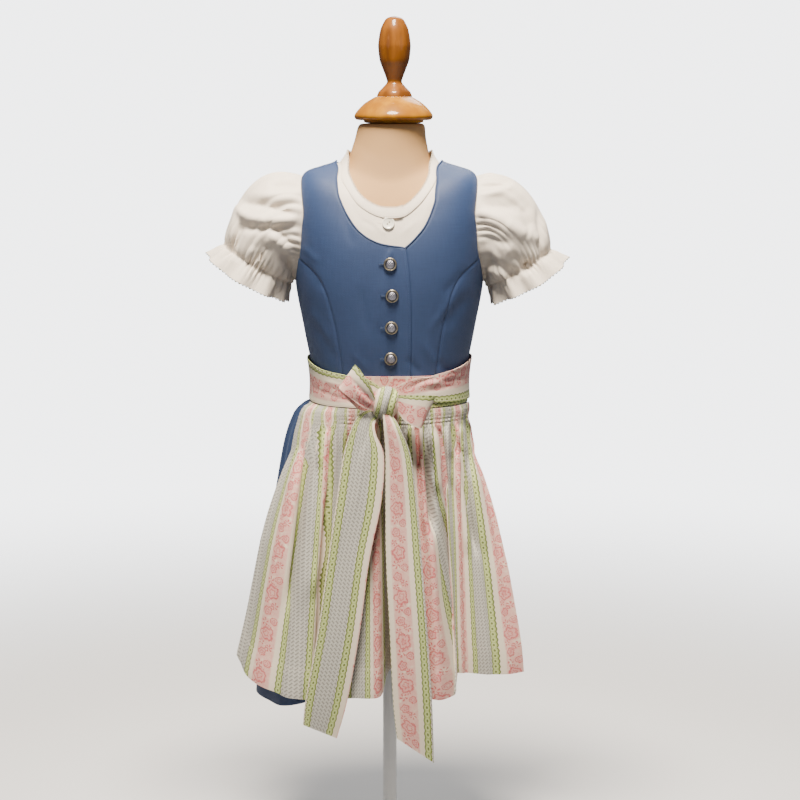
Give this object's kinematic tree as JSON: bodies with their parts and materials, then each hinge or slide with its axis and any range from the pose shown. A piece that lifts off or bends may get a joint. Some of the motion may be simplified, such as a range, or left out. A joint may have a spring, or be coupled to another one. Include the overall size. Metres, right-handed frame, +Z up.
{
  "type": "dirndl dress on a dress form",
  "caption": "Child's dirndl with a bodice, gathered skirt, puff-sleeved blouse and striped half apron tied in a bow, shown on a limbless dress form on a round stand.",
  "frame": {"origin": "centre of the underside of the stand's base, on the floor", "axes": "+Z up along the pole; the dress faces -Y; the wearer's right is -X and left is +X"},
  "size_m": [0.4058, 0.3076, 0.978],
  "materials": {
    "form_jersey": "cream cotton jersey pulled smooth over the form",
    "varnished_wood": "turned wood with a glossy golden varnish",
    "stand_paint": "satin white paint on steel",
    "blue_cotton": "smooth medium-blue cotton with a soft sheen",
    "cream_cotton": "fine cream cotton with a soft sheen",
    "apron_stripe": "cream cotton with printed pink, green and grey stripes",
    "antique_silver": "aged silver-coloured metal",
    "shell": "pearly shell"
  },
  "bodies": {
    "root": {"dress_form_body": "form_jersey", "finial": "varnished_wood", "neck_cap": "varnished_wood", "stand_base": "stand_paint", "stand_pole": "stand_paint", "blouse_front": "cream_cotton", "blouse_back": "cream_cotton", "blouse_neckband": "cream_cotton", "blouse_button": "shell", "sleeve_r": "cream_cotton", "sleeve_l": "cream_cotton", "bodice_center_front_r": "blue_cotton", "bodice_center_front_l": "blue_cotton", "bodice_side_front_r": "blue_cotton", "bodice_side_front_l": "blue_cotton", "bodice_back": "blue_cotton", "neckline_piping": "blue_cotton", "bodice_button_1": "antique_silver", "bodice_button_2": "antique_silver", "bodice_button_3": "antique_silver", "bodice_button_4": "antique_silver", "skirt_front": "blue_cotton", "skirt_back": "blue_cotton", "apron_panel": "apron_stripe", "apron_waistband": "apron_stripe", "tie_wrap_r": "apron_stripe", "tie_wrap_l": "apron_stripe", "bow_knot": "apron_stripe", "bow_loop_r": "apron_stripe", "bow_loop_l": "apron_stripe", "bow_tail_r": "apron_stripe", "bow_tail_l": "apron_stripe"}
  },
  "joints": []
}
